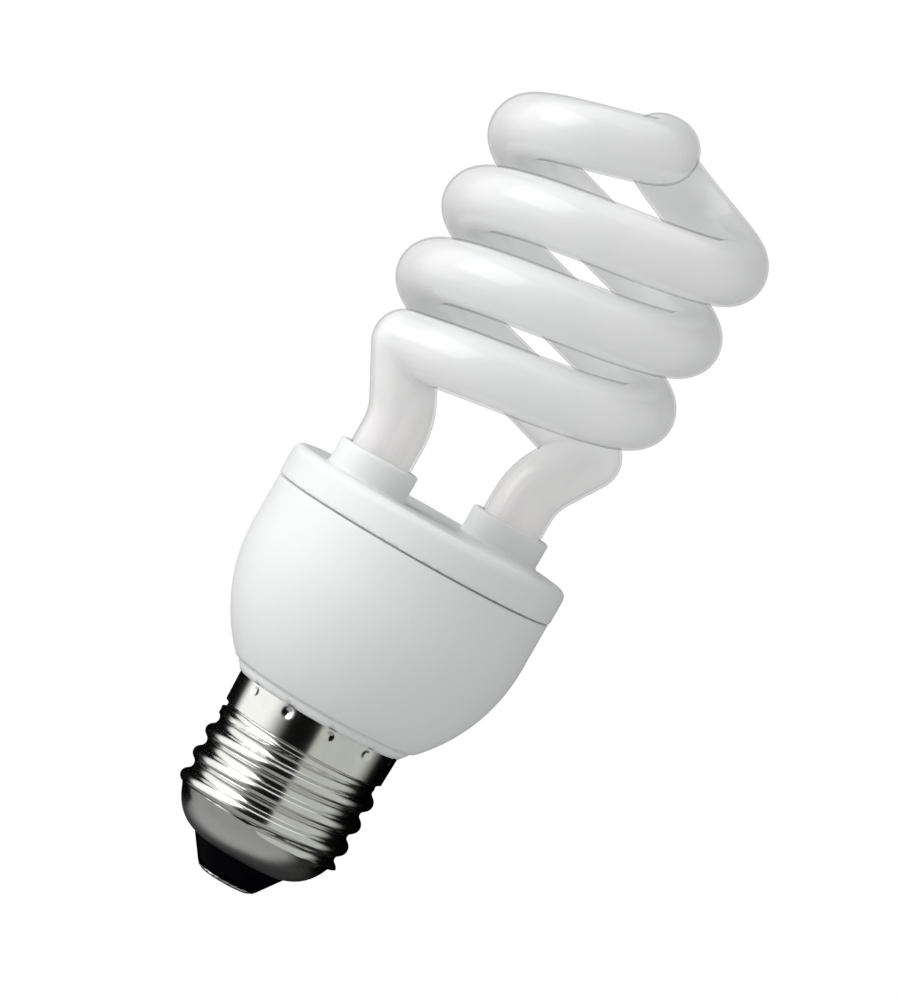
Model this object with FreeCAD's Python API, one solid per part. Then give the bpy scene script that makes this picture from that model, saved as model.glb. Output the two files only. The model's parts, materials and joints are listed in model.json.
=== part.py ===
import FreeCAD, Part
import math
import os

# Spiral energy saving bulb with a screw cap, in millimetres.
# The origin is the flat tip of the centre contact and +Z runs up the housing's axis.
# Azimuths are in degrees from +X, anticlockwise seen from above.

Vector = FreeCAD.Vector
UP = Vector(0, 0, 1)

# Cap: a thin shell rolled with the lamp cap's round thread
shell_end_height = 4.35
shell_end_radius = 7.5
shell_end_bulge_width = 2.75
shell_end_bulge_rise = 1.65
sheet = 0.35
thread_pitch = 3.629
thread_root_radius = 12.05
thread_crest_radius = 13.1
thread_zero_height = 8.66
thread_turns = 3.896
thread_round = 1.025
ridge_start_azimuth = -60
ridge_end_azimuth = 1290
groove_start_azimuth = -130
groove_end_azimuth = 1150
thread_fade = 72
thread_step = 24
shoulder_height = 9.0
skirt_length = 4.6
skirt_radius = 12.65
skirt_flare = 0.15
skirt_groove_radius = 0.7
stake_count = 12
stake_first_azimuth = -108
stake_drop = 1.0
stake_radius = 0.9
stake_standoff = 0.5

# Insulator and centre contact
contact_tip_radius = 3.8
contact_radius = 4.5
contact_thickness = 0.6
contact_edge = 0.35
rivet_radius = 1.25
rivet_bore_radius = 0.6
rivet_height = 7.2
insulator_foot_radius = 4.7
insulator_bulge_width = 2.5
insulator_bulge_rise = 2.1
insulator_dish_radius = 4.0
insulator_dish_height = 6.5
insulator_rim_width = 2.4
insulator_rim_height = 1.0

# Lower housing: a bowl with a neck that the shell is staked to
wall = 1.6
housing_radius = 21.85
rim_wall = 1.75
lip_radius = 13.05
lip_top_radius = 13.9
lip_chamfer = 1.1
lip_height = 1.9
bowl_foot_step = 1.0
bowl_foot_edge = 0.3
bowl_length = 25.3
bowl_straight = 7.6
neck_length = 7.4
neck_step_length = 4.2
neck_inner_radius = 10.2
seam_gap = 0.3
seam_depth = 0.5

# Upper cover with a collar for each end of the tube
cover_overhang = 0.15
cover_rise = 5.1
cover_edge_radius = 1.35
cover_plate = 1.8
skirt_wall = 1.4
skirt_depth = 5.0
collar_radius = 6.1
collar_rise = 4.15
collar_edge = 0.35
collar_depth = 3.9
cement_overhang = 0.8
cement_recess = 1.6
hook_count = 4
hook_first_azimuth = 0
hook_width = 6.0
hook_depth = 0.7
hook_root = 0.6
hook_rise = 1.2
hook_height = 1.6

# Discharge tube: two strands, each the other's half turn, that meet on the coil's axis
tube_diameter = 9.5
coil_radius = 17.93
coil_lead = 24.0
coil_start_azimuth = 233.3
coil_start_rise = 9.8
coil_turn = 519.7
coil_steps = 18
crown_turn = 85.3
crown_rise = 6.9
crown_steps = 5
crown_fullness = 1.03
coil_lean = 3.2
lean_drop = 1.3
elbow_run_radii = 1.26
leg_circle_radius = 14.4
leg_azimuth = 223.5
leg_rise = 6.15
leg_bend_radius = 11.0
tube_end_depth = 7.1
tube_end_rounding = 2.2
exhaust_tip_diameter = 2.2
exhaust_tip_length = 1.5

# Running and seating clearances
fit_clearance = 0.1
neck_clearance = 0.15
skirt_clearance = 0.2
hook_clearance = 0.1
collar_clearance = 0.35
board_clearance = 0.3

# Circuit board on ribs inside the bowl
board_thickness = 1.6
board_drop = 2.0
rib_count = 6
rib_first_azimuth = 30
rib_thickness = 1.2
rib_ledge = 1.4
rib_length = 10.6

# Wires
wire_radius = 0.25
wire_bend = 0.6
lead_width = 0.5
lead_grip = 1.0
mains_wire_radius = 0.4
mains_wire_bend = 0.9
pin_width = 0.8
pin_rise = 3.6
pin_drop = 1.2
pin_inset = 2.8
pin_spread = 23.0
wrap_radius = 0.75
wrap_height = 1.6
wrap_rise = 0.4
stem_spread = 1.6
live_wire_gap = 1.0
live_wire_azimuth = 50
neutral_wire_azimuth = 230
neutral_wire_drop = 3.5

# Wound parts and the fusible resistor
drive_wire = 0.4
drive_windings = 3
disc_standoff = 0.6
axial_standoff = 0.2
fuse_radius = 1.8
fuse_gap = 0.5
fuse_edge = 0.5
can_foot_gap = 4.6

tube_radius = tube_diameter / 2
skirt_start_height = thread_zero_height + thread_turns * thread_pitch
shell_top_height = skirt_start_height + skirt_length
neck_bottom_height = shell_top_height - neck_length
neck_step_height = shell_top_height - neck_step_length
insulator_top_height = shoulder_height + insulator_rim_height

# The bowl's arc runs from its foot to where its wall stands straight
bowl_foot_height = shell_top_height + lip_height
bowl_foot_radius = lip_top_radius + bowl_foot_step
seam_height = bowl_foot_height + bowl_length
bowl_centre_height = seam_height - bowl_straight
bowl_rise = bowl_centre_height - bowl_foot_height
bowl_bulge = housing_radius - bowl_foot_radius
bowl_radius = (bowl_rise ** 2 + bowl_bulge ** 2) / (2 * bowl_bulge)
bowl_axis_radius = housing_radius - bowl_radius
bore_radius = housing_radius - rim_wall

cover_radius = housing_radius + cover_overhang
cover_top_height = seam_height + cover_rise
cover_skirt_bottom = seam_height - skirt_depth
skirt_outer_radius = bore_radius - skirt_clearance
hook_bottom_height = cover_skirt_bottom + hook_rise
collar_top_height = cover_top_height + collar_rise
collar_bottom_height = cover_top_height - collar_depth
collar_bore_radius = tube_radius + collar_clearance

tube_end_height = cover_top_height - tube_end_depth
leg_bend_height = collar_top_height + leg_rise
coil_start_height = leg_bend_height + coil_start_rise
lean_height = coil_start_height - lean_drop
elbow_run = elbow_run_radii * tube_radius
coil_end_azimuth = coil_start_azimuth + coil_turn

board_radius = bore_radius - board_clearance
board_height = cover_skirt_bottom - board_drop
board_top = board_height + board_thickness
rib_inner_radius = board_radius - rib_ledge
rib_foot_height = board_height - rib_length
pin_circle_radius = board_radius - pin_inset
fuse_bottom = insulator_top_height + fuse_gap
fuse_top = neck_bottom_height - fuse_gap

# The board's parts keep their proportion to it: a unit is a millimetre on this board
unit = board_radius / 19.8

choke_width = 14.0 * unit
choke_height = 12.0 * unit
choke_depth = 6.0 * unit
choke_yoke = 2.4 * unit
choke_leg = 3.6 * unit
choke_sleeve = 0.8 * unit
choke_flange = 0.8 * unit
choke_winding_width = 8.4 * unit
choke_winding_depth = 9.6 * unit
choke_winding_corner = 1.6 * unit
choke_top = board_height - 0.6 * unit
choke_bottom = choke_top - choke_height

drive_outer_radius = 4.75 * unit
drive_inner_radius = 2.5 * unit
drive_height = 4.5 * unit
drive_winding_width = 1.6 * unit
drive_top = board_height - 0.7 * unit

can_radius = 5.0 * unit
can_top = board_height - 3.0 * unit
can_bottom = neck_bottom_height + can_foot_gap
can_edge = 0.6 * unit
can_lead_spread = 2.5 * unit
can_groove_drop = 2.0 * unit
can_groove_radius = 0.7 * unit
can_groove_depth = 0.4 * unit
live_circle_radius = can_radius + live_wire_gap + mains_wire_radius
neutral_circle_radius = live_circle_radius + mains_wire_radius

film_top = board_height - 0.8 * unit
film_edge = 1.0 * unit
film_lead_inset = 1.5 * unit
resonant_size = (5.5 * unit, 13.0 * unit, 9.5 * unit)
coupling_size = (4.5 * unit, 8.0 * unit, 8.0 * unit)

# Radius and thickness of the discs, radius and length of the parts that lie down
thermistor_size = (2.8 * unit, 2.0 * unit)
snubber_size = (2.4 * unit, 1.8 * unit)
diode_size = (1.25 * unit, 5.0 * unit)
resistor_size = (0.95 * unit, 4.6 * unit)
diac_size = (0.8 * unit, 3.4 * unit)
disc_edge = 0.5 * unit
diode_pitch = 3.8 * unit
resistor_pitch = 3.0 * unit
axial_lead_reach = 0.8 * unit

transistor_radius = 2.4 * unit
transistor_height = 4.8 * unit
transistor_top = board_height - 3.0 * unit
transistor_flat = 1.0 * unit
transistor_pitch = 1.27 * unit

filter_radius = 2.5 * unit
filter_length = 6.4 * unit
filter_flange = 1.2 * unit
filter_groove = 0.4 * unit
filter_top = board_height - 1.2 * unit


def polar(radius, azimuth, height):
    angle = math.radians(azimuth)
    return Vector(radius * math.cos(angle), radius * math.sin(angle), height)


def collar_centre(half, height):
    """A point on the axis of one of the two collars."""
    return polar(leg_circle_radius, leg_azimuth + 180 * half, height)


def turned(edges):
    """The solid that a closed outline in the XZ plane sweeps about the axis."""
    face = Part.Face(Part.Wire(edges))
    return face.revolve(Vector(0, 0, 0), UP, 360)


def outline(points):
    """Straight edges and arcs: a point is (radius, height), an arc is (middle, end)."""
    edges = []
    last = points[0]
    for point in points[1:] + points[:1]:
        start = Vector(last[0], 0, last[1])
        if isinstance(point[0], tuple):
            middle = Vector(point[0][0], 0, point[0][1])
            end = Vector(point[1][0], 0, point[1][1])
            edges.append(Part.Arc(start, middle, end).toShape())
            last = point[1]
        else:
            edges.append(Part.makeLine(start, Vector(point[0], 0, point[1])))
            last = point
    return edges


def cylinder(radius, start, end):
    return Part.makeCylinder(radius, (end - start).Length, start, end - start)


def block(centre, length, width, bottom, top, azimuth=0):
    """An upright block about a point, its length turned to the azimuth."""
    shape = Part.makeBox(length, width, top - bottom, Vector(-length / 2, -width / 2, bottom))
    shape.rotate(Vector(0, 0, 0), UP, azimuth)
    shape.translate(Vector(centre.x, centre.y, 0))
    return shape


def ring_copies(shape, count, first_azimuth):
    copies = []
    for index in range(count):
        copy = shape.copy()
        copy.rotate(Vector(0, 0, 0), UP, first_azimuth + 360 * index / count)
        copies.append(copy)
    return copies


def corner_arc(before, corner, after, reach):
    """The arc that leaves one run and joins the next, reach away from their corner."""
    back = (before - corner).normalize()
    ahead = (after - corner).normalize()
    turn = math.pi - back.getAngle(ahead)
    radius = reach / math.tan(turn / 2)
    start = corner + back * reach
    end = corner + ahead * reach
    middle = corner + (back + ahead).normalize() * (radius / math.cos(turn / 2) - radius)
    return start, middle, end


def rounded_path(points, reaches):
    """Straight runs joined by tangent arcs, one reach for each inner point."""
    edges = []
    last = points[0]
    for before, corner, after, reach in zip(points, points[1:], points[2:], reaches):
        start, middle, end = corner_arc(before, corner, after, reach)
        edges.append(Part.makeLine(last, start))
        edges.append(Part.Arc(start, middle, end).toShape())
        last = end
    edges.append(Part.makeLine(last, points[-1]))
    return Part.Wire(edges)


def swept(path, radius):
    """A round rod along a path of lines and arcs."""
    first = path.Edges[0]
    start = first.valueAt(first.FirstParameter)
    circle = Part.makeCircle(radius, start, first.tangentAt(first.FirstParameter))
    return path.makePipe(Part.Face(Part.Wire(circle)))


def bent_rod(points, radius, bend_radius):
    """A rod along a few points with the same bend at each."""
    reaches = []
    for before, corner, after in zip(points, points[1:], points[2:]):
        turn = math.pi - (before - corner).getAngle(after - corner)
        reaches.append(bend_radius * math.tan(turn / 2))
    return swept(rounded_path(points, reaches), radius)


# Discharge tube

def leaned():
    """The coil leans on its legs towards +X, about a point on the axis."""
    rotation = FreeCAD.Rotation(Vector(0, 1, 0), coil_lean)
    return FreeCAD.Placement(Vector(0, 0, 0), rotation, Vector(0, 0, lean_height))


def coil_start_tangent():
    azimuth = math.radians(coil_start_azimuth)
    rise = coil_lead / (2 * math.pi)
    tangent = Vector(-coil_radius * math.sin(azimuth), coil_radius * math.cos(azimuth), rise)
    return tangent.normalize()


def coil_height(azimuth):
    return coil_start_height + coil_lead * (azimuth - coil_start_azimuth) / 360


def crown_point(share):
    """Where the strand turns in towards the axis: share is 0 on the coil, 1 on the axis."""
    rise = crown_rise * (3 * share ** 2 - 2 * share ** 3)
    carry = coil_lead * crown_turn / 360 * (share - 2 * share ** 2 + share ** 3)
    radius = crown_fullness * coil_radius * math.cos(math.pi / 2 * share)
    height = coil_height(coil_end_azimuth) + rise + carry
    return polar(radius, coil_end_azimuth + crown_turn * share, height)


def strand_corners():
    """Corners outside the helix, so that the arcs between them lie on it."""
    step = coil_turn / coil_steps
    corner_radius = coil_radius / math.cos(math.radians(step / 2))
    elbow = polar(coil_radius, coil_start_azimuth, coil_start_height) - coil_start_tangent() * elbow_run
    corners = [elbow]
    for index in range(coil_steps):
        azimuth = coil_start_azimuth + step * (index + 0.5)
        corners.append(polar(corner_radius, azimuth, coil_height(azimuth)))
    for index in range(crown_steps):
        corners.append(crown_point((index + 0.5) / crown_steps))
    corners.append(Vector(0, 0, corners[-1].z))
    return corners


def strand_path(corners):
    runs = [(after - before).Length for before, after in zip(corners, corners[1:])]
    runs[0] = 2 * (runs[0] - elbow_run)
    runs[-1] = 2 * runs[-1]
    reaches = [0.48 * min(before, after) for before, after in zip(runs, runs[1:])]
    return rounded_path(corners, reaches)


def tube_leg(half, elbow):
    """From the sealed end up through the collar, then outwards to the elbow."""
    bottom = collar_centre(half, tube_end_height)
    bend = collar_centre(half, leg_bend_height)
    turn = math.pi - (bottom - bend).getAngle(elbow - bend)
    reach = leg_bend_radius * math.tan(turn / 2)
    leg = swept(rounded_path([bottom, bend, elbow], [reach]), tube_radius)
    end_edges = [edge for edge in leg.Edges if edge.BoundBox.ZMax < bottom.z + 0.01]
    return leg.makeFillet(tube_end_rounding, end_edges)


def discharge_tube():
    corners = strand_corners()
    strand = swept(strand_path(corners), tube_radius)
    halves = []
    for half in (0, 1):
        spin = FreeCAD.Placement(Vector(0, 0, 0), FreeCAD.Rotation(UP, 180 * half))
        place = leaned().multiply(spin)
        coil = strand.copy()
        coil.Placement = place
        elbow = place.multVec(corners[0])
        ball = Part.makeSphere(tube_radius, elbow)
        halves.append(tube_leg(half, elbow).fuse([ball, coil]))
    tip_top = collar_centre(0, tube_end_height + tube_end_rounding)
    tip_bottom = collar_centre(0, tube_end_height - exhaust_tip_length)
    tip = cylinder(exhaust_tip_diameter / 2, tip_bottom, tip_top)
    return halves[0].fuse([halves[1], tip]).removeSplitter()


def tube_cement():
    """The ring that holds each end in its collar, down to a little below the collar."""
    rings = []
    for half in (0, 1):
        bottom = collar_centre(half, collar_bottom_height - cement_overhang)
        top = collar_centre(half, collar_top_height - cement_recess)
        ring = cylinder(collar_bore_radius, bottom, top)
        rings.append(ring.cut(cylinder(tube_radius, bottom - UP, top + UP)))
    return Part.makeCompound(rings)


# Cap

def shell_outline(inset, thread_radius):
    """The shell's plain form from the lip up, inset by the sheet for its inside."""
    lip_height = shell_end_height + inset
    slope = inset * math.sqrt(0.5)
    middle_radius = shell_end_radius + shell_end_bulge_width - slope
    middle = (middle_radius, shell_end_height + shell_end_bulge_rise + slope)
    return outline([
        (0, lip_height),
        (shell_end_radius, lip_height),
        (middle, (thread_root_radius - inset, shoulder_height)),
        (thread_radius, insulator_top_height),
        (thread_radius, skirt_start_height),
        (skirt_radius - inset, skirt_start_height),
        (skirt_radius + skirt_flare - inset, shell_top_height),
        (0, shell_top_height),
    ])


def thread_rod(centre_radius, zero_height, start_azimuth, end_azimuth, run_out):
    """A round rod along the thread's helix, whose ends run out by a change of radius."""
    steps = round((end_azimuth - start_azimuth) / thread_step)
    step = (end_azimuth - start_azimuth) / steps
    bulge = 1 / math.cos(math.radians(step / 2))
    corners = []
    for index in range(steps + 2):
        azimuth = start_azimuth + step * (index - 0.5)
        from_end = min(azimuth - start_azimuth, end_azimuth - azimuth)
        fade = max(0, 1 - from_end / thread_fade) ** 2
        height = zero_height + thread_pitch * azimuth / 360
        corners.append(polar((centre_radius + run_out * fade) * bulge, azimuth, height))
    runs = [(after - before).Length for before, after in zip(corners, corners[1:])]
    reaches = [0.49 * min(before, after) for before, after in zip(runs, runs[1:])]
    return swept(rounded_path(corners, reaches), thread_round)


def stake_balls(radius):
    """One ball for each dimple that holds the shell to the neck."""
    height = shell_top_height - stake_drop
    centre = Vector(skirt_radius + skirt_flare + stake_standoff, 0, height)
    return ring_copies(Part.makeSphere(radius, centre), stake_count, stake_first_azimuth)


def screw_shell():
    middle_radius = (thread_root_radius + thread_crest_radius) / 2
    body = turned(shell_outline(0, middle_radius))
    ridge = thread_rod(
        thread_crest_radius - thread_round, thread_zero_height,
        ridge_start_azimuth, ridge_end_azimuth, -1.5 * thread_round)
    groove = thread_rod(
        thread_root_radius + thread_round, thread_zero_height + thread_pitch / 2,
        groove_start_azimuth, groove_end_azimuth, 1.5 * thread_round)
    ring_radius = thread_root_radius + skirt_groove_radius
    ring_height = skirt_start_height - skirt_groove_radius
    ring = Part.makeTorus(ring_radius, skirt_groove_radius, Vector(0, 0, ring_height))
    inside = turned(shell_outline(sheet, thread_root_radius - sheet))
    mouth = cylinder(shell_end_radius, Vector(0, 0, 0), UP * shoulder_height)
    shell = body.fuse(ridge).cut(groove).cut(ring)
    shell = shell.cut(inside.cut(Part.makeCompound(stake_balls(stake_radius + sheet))))
    return shell.cut([mouth] + stake_balls(stake_radius)).removeSplitter()


def cap_insulator():
    """Black glass, trapped in the shell's curled end and bored for the rivet."""
    gap = fit_clearance
    bore = rivet_radius + gap
    outer = shell_end_radius - gap
    lip_height = shell_end_height + sheet + gap
    middle_radius = shell_end_radius + insulator_bulge_width - gap
    middle = (middle_radius, shell_end_height + insulator_bulge_rise + gap)
    shoulder = (thread_root_radius - 2 * sheet - gap, shoulder_height + gap)
    points = [
        (bore, contact_thickness),
        (insulator_foot_radius, contact_thickness),
        (outer, shell_end_height),
        (outer, lip_height),
        (middle, shoulder),
        (shoulder[0], insulator_top_height),
        (shoulder[0] - insulator_rim_width, insulator_top_height),
        (insulator_dish_radius, insulator_dish_height),
        (bore, insulator_dish_height),
    ]
    return turned(outline(points))


def centre_contact():
    """A disc with a hollow rivet through the insulator."""
    return turned(outline([
        (0, 0),
        (contact_tip_radius, 0),
        (contact_radius, contact_edge),
        (contact_radius, contact_thickness),
        (rivet_radius, contact_thickness),
        (rivet_radius, rivet_height),
        (rivet_bore_radius, rivet_height),
        (rivet_bore_radius, contact_thickness),
        (0, contact_thickness),
    ]))


# Housing

def bowl_reach(height, thickness):
    """The bowl's radius at a height, thickness inside its outer face."""
    drop = bowl_centre_height - height
    return bowl_axis_radius + math.sqrt((bowl_radius - thickness) ** 2 - drop ** 2)


def bowl_height(radius, thickness):
    """The height at which the bowl has a radius."""
    reach = radius - bowl_axis_radius
    return bowl_centre_height - math.sqrt((bowl_radius - thickness) ** 2 - reach ** 2)


def bowl_outline():
    """The housing's outside, from the neck to the seam."""
    neck_radius = skirt_radius - sheet - neck_clearance
    low_radius = thread_root_radius - sheet - neck_clearance
    middle_height = (bowl_foot_height + bowl_centre_height) / 2
    middle = (bowl_reach(middle_height, 0), middle_height)
    return [
        (low_radius, neck_bottom_height),
        (low_radius, neck_step_height),
        (neck_radius, neck_step_height),
        (neck_radius, shell_top_height),
        (lip_radius, shell_top_height),
        (lip_top_radius, shell_top_height + lip_chamfer),
        (lip_top_radius, bowl_foot_height - bowl_foot_edge),
        (bowl_foot_radius - bowl_foot_edge, bowl_foot_height - bowl_foot_edge),
        (bowl_foot_radius, bowl_foot_height),
        (middle, (housing_radius, bowl_centre_height)),
        (housing_radius, seam_height - seam_gap),
        (housing_radius - seam_depth, seam_height - seam_gap),
        (housing_radius - seam_depth, seam_height),
    ]


def bowl_inside():
    """The housing's inside, from the seam back down through the neck."""
    floor = bowl_foot_height + wall
    bore_foot = bowl_height(bore_radius, wall)
    middle_height = (floor + bore_foot) / 2
    middle = (bowl_reach(middle_height, wall), middle_height)
    return [
        (bore_radius, seam_height),
        (bore_radius, bore_foot),
        (middle, (bowl_reach(floor, wall), floor)),
        (neck_inner_radius, floor),
        (neck_inner_radius, neck_bottom_height),
    ]


def hooks(margin):
    """The snap hooks on the cover's skirt, or with a margin the pockets they click into."""
    outer = bore_radius + hook_depth + margin
    inner = skirt_outer_radius - hook_root
    centre = Vector((outer + inner) / 2, 0, 0)
    top = hook_bottom_height + hook_height + margin
    hook = block(centre, outer - inner, hook_width + 2 * margin, hook_bottom_height - margin, top)
    return ring_copies(hook, hook_count, hook_first_azimuth)


def board_ribs(whole):
    """Ribs inside the bowl that the board lies on."""
    centre = Vector((rib_inner_radius + housing_radius) / 2, 0, 0)
    length = housing_radius - rib_inner_radius
    rib = block(centre, length, rib_thickness, rib_foot_height, board_height)
    return [rib.common(whole) for rib in ring_copies(rib, rib_count, rib_first_azimuth)]


def lower_housing():
    whole = turned(outline(bowl_outline() + [(0, seam_height), (0, neck_bottom_height)]))
    bowl = turned(outline(bowl_outline() + bowl_inside()))
    bowl = bowl.fuse(board_ribs(whole))
    return bowl.cut(hooks(hook_clearance) + stake_balls(stake_radius + sheet + fit_clearance)).removeSplitter()


def upper_cover():
    """The lid: a plate with a skirt in the bowl's bore, two collars and four hooks."""
    inner_radius = skirt_outer_radius - skirt_wall
    upper_inner = cover_radius - wall
    plate_bottom = cover_top_height - cover_plate
    edge = cover_edge_radius
    edge_centre = (cover_radius - edge, cover_top_height - edge)
    slope = edge * math.sqrt(0.5)
    edge_middle = (edge_centre[0] + slope, edge_centre[1] + slope)
    cover = turned(outline([
        (0, plate_bottom),
        (upper_inner, plate_bottom),
        (upper_inner, seam_height + wall),
        (inner_radius, seam_height + wall / 2),
        (inner_radius, cover_skirt_bottom),
        (skirt_outer_radius, cover_skirt_bottom),
        (skirt_outer_radius, seam_height),
        (cover_radius, seam_height),
        (cover_radius, edge_centre[1]),
        (edge_middle, (edge_centre[0], cover_top_height)),
        (0, cover_top_height),
    ]))
    bores = []
    for half in (0, 1):
        bottom = collar_centre(half, collar_bottom_height)
        top = collar_centre(half, collar_top_height)
        collar = cylinder(collar_radius, bottom, top)
        rim = [item for item in collar.Edges if item.BoundBox.ZMin > top.z - 0.01]
        cover = cover.fuse(collar.makeFillet(collar_edge, rim))
        foot = collar_centre(half, tube_end_height - 1)
        bores.append(cylinder(collar_bore_radius, foot, top + UP))
    return cover.fuse(hooks(0)).cut(bores).removeSplitter()


# Circuit board and what it carries

def pin_places():
    """Two posts for each end of the tube."""
    places = []
    for half in (0, 1):
        for side in (-1, 1):
            azimuth = leg_azimuth + 180 * half + side * pin_spread
            places.append((half, side, polar(pin_circle_radius, azimuth, board_top)))
    return places


def pin_at(place):
    return block(place, pin_width, pin_width, board_height - pin_drop, board_top + pin_rise)


def wrap_pins():
    return Part.makeCompound([pin_at(place) for half, side, place in pin_places()])


def circuit_board():
    disc = cylinder(board_radius, UP * board_height, UP * board_top)
    return disc.cut([pin_at(place) for half, side, place in pin_places()])


def tube_leads():
    """A wire from each side of a tube end, wrapped on its post."""
    leads = []
    for half, side, place in pin_places():
        centre = collar_centre(half, tube_end_height)
        across = polar(stem_spread, leg_azimuth + 180 * half + 90 * side, 0)
        start = centre + across
        foot = place + UP * wrap_rise
        level = foot.z + wrap_height / 2
        ahead = (Vector(place.x, place.y, 0) - Vector(start.x, start.y, 0)).normalize()
        end = Vector(place.x, place.y, level) - ahead * (pin_width / 2 + wire_radius)
        wire = bent_rod([start, Vector(start.x, start.y, level), end], wire_radius, wire_bend)
        wrap = cylinder(wrap_radius, foot, foot + UP * wrap_height)
        leads.append(wire.fuse(wrap).cut(pin_at(place)).removeSplitter())
    return Part.makeCompound(leads)


def legs_down(places, bottom, top):
    return [block(place, lead_width, lead_width, bottom, top) for place in places]


def on_board(share, azimuth):
    """A place on the board, at a share of its radius."""
    return polar(share * board_radius, azimuth, 0)


choke_place = on_board(0.545, 0)


def choke_core():
    """Two E halves closed on each other: a frame round the middle leg."""
    core = block(choke_place, choke_depth, choke_width, choke_bottom, choke_top)
    window_width = (choke_width - 2 * choke_yoke - choke_leg) / 2
    offset = (choke_leg + window_width) / 2
    for side in (-1, 1):
        place = choke_place + Vector(0, side * offset, 0)
        low = choke_bottom + choke_yoke
        high = choke_top - choke_yoke
        window = block(place, 2 * choke_depth, window_width, low, high)
        core = core.cut(window)
    return core


def choke_bobbin():
    """A sleeve on the middle leg with a flange at each end and two pins up to the board."""
    low = choke_bottom + choke_yoke
    high = choke_top - choke_yoke
    depth = choke_winding_depth + choke_sleeve / 2
    body = block(choke_place, choke_depth + 2 * choke_sleeve, choke_leg + 2 * choke_sleeve, low, high)
    for start, end in ((low, low + choke_flange), (high - choke_flange, high)):
        body = body.fuse(block(choke_place, depth, choke_winding_width, start, end))
    body = body.cut(block(choke_place, choke_depth, choke_leg, low, high))
    reach = depth / 2 - lead_width
    pins = legs_down([choke_place + Vector(side * reach, 0, 0) for side in (-1, 1)], high, board_height)
    return body.fuse(pins).removeSplitter()


def choke_winding():
    low = choke_bottom + choke_yoke + choke_flange
    high = choke_top - choke_yoke - choke_flange
    coil = block(choke_place, choke_winding_depth, choke_winding_width, low, high)
    upright = [edge for edge in coil.Edges if edge.BoundBox.ZLength > 1]
    coil = coil.makeFillet(choke_winding_corner, upright)
    sleeve = block(choke_place, choke_depth + 2 * choke_sleeve, choke_leg + 2 * choke_sleeve, low, high)
    return coil.cut(sleeve)


drive_place = on_board(0.556, 90)


def drive_core():
    top = drive_place + UP * drive_top
    bottom = top - UP * drive_height
    return cylinder(drive_outer_radius, bottom, top).cut(cylinder(drive_inner_radius, bottom, top))


def drive_winding():
    """Windings on the ring, each a sleeve round its section with a leg to the board."""
    windings = []
    middle = (drive_outer_radius + drive_inner_radius) / 2
    thick = drive_outer_radius - drive_inner_radius + 2 * drive_wire
    low = drive_top - drive_height - drive_wire
    for index in range(drive_windings):
        azimuth = 90 + 360 * index / drive_windings
        place = drive_place + polar(middle, azimuth, 0)
        sleeve = block(place, thick, drive_winding_width, low, drive_top + drive_wire, azimuth)
        leg = drive_place + polar(drive_outer_radius + drive_wire / 2, azimuth, 0)
        post = block(leg, drive_wire, drive_wire, drive_top, board_height, azimuth)
        windings.append(sleeve.cut(drive_core()).fuse(post).removeSplitter())
    return Part.makeCompound(windings)


def bulk_capacitor():
    """The mains smoothing can with its rolled groove."""
    can = cylinder(can_radius, UP * can_bottom, UP * can_top)
    rims = [edge for edge in can.Edges if edge.BoundBox.ZLength < 0.01]
    can = can.makeFillet(can_edge, rims)
    groove_radius = can_radius + can_groove_radius - can_groove_depth
    groove = Part.makeTorus(groove_radius, can_groove_radius, UP * (can_top - can_groove_drop))
    places = [Vector(0, side * can_lead_spread, 0) for side in (-1, 1)]
    return can.cut(groove).fuse(legs_down(places, can_top - lead_grip, board_height)).removeSplitter()


def film_capacitor(place, size, azimuth):
    """A dipped block under the board on two legs."""
    thickness, width, height = size
    body = block(place, thickness, width, film_top - height, film_top, azimuth)
    body = body.makeFillet(film_edge, body.Edges)
    across = polar(width / 2 - film_lead_inset, azimuth + 90, 0)
    legs = legs_down([place - across, place + across], film_top - lead_grip, board_height)
    return body.fuse(legs).removeSplitter()


def resonant_capacitor():
    return film_capacitor(on_board(0.53, 180), resonant_size, 0)


def coupling_capacitor():
    return film_capacitor(on_board(0.606, 270), coupling_size, 90)


def disc_part(place, size, azimuth, side):
    """A coated disc that stands on its edge above or below the board."""
    radius, thickness = size
    if side > 0:
        level = board_top + disc_standoff + radius
        span = board_top, level
    else:
        level = board_height - disc_standoff - radius
        span = level, board_height
    axis = polar(thickness / 2, azimuth, 0)
    centre = Vector(place.x, place.y, level)
    disc = cylinder(radius, centre - axis, centre + axis)
    disc = disc.makeFillet(disc_edge, [edge for edge in disc.Edges if len(edge.Vertexes) == 1])
    across = polar(radius / 2, azimuth + 90, 0)
    return disc.fuse(legs_down([place - across, place + across], *span)).removeSplitter()


def thermistor():
    return disc_part(on_board(0.682, 129), thermistor_size, 130, -1)


def snubber_capacitor():
    return disc_part(on_board(0.661, 313.5), snubber_size, 45, 1)


def transistor(place, azimuth):
    """A round-backed package on three legs."""
    top = transistor_top
    low = top - transistor_height
    body = cylinder(transistor_radius, place + UP * low, place + UP * top)
    front = place + polar(2 * transistor_radius - transistor_flat, azimuth, 0)
    width = 2 * transistor_radius
    body = body.cut(block(front, width, 2 * width, low, top, azimuth))
    across = polar(transistor_pitch, azimuth + 90, 0)
    legs = legs_down([place - across, place, place + across], top - lead_grip, board_height)
    return body.fuse(legs).removeSplitter()


def transistor_upper():
    return transistor(on_board(0.675, 231), 45)


def transistor_lower():
    return transistor(on_board(0.675, 309), 135)


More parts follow.
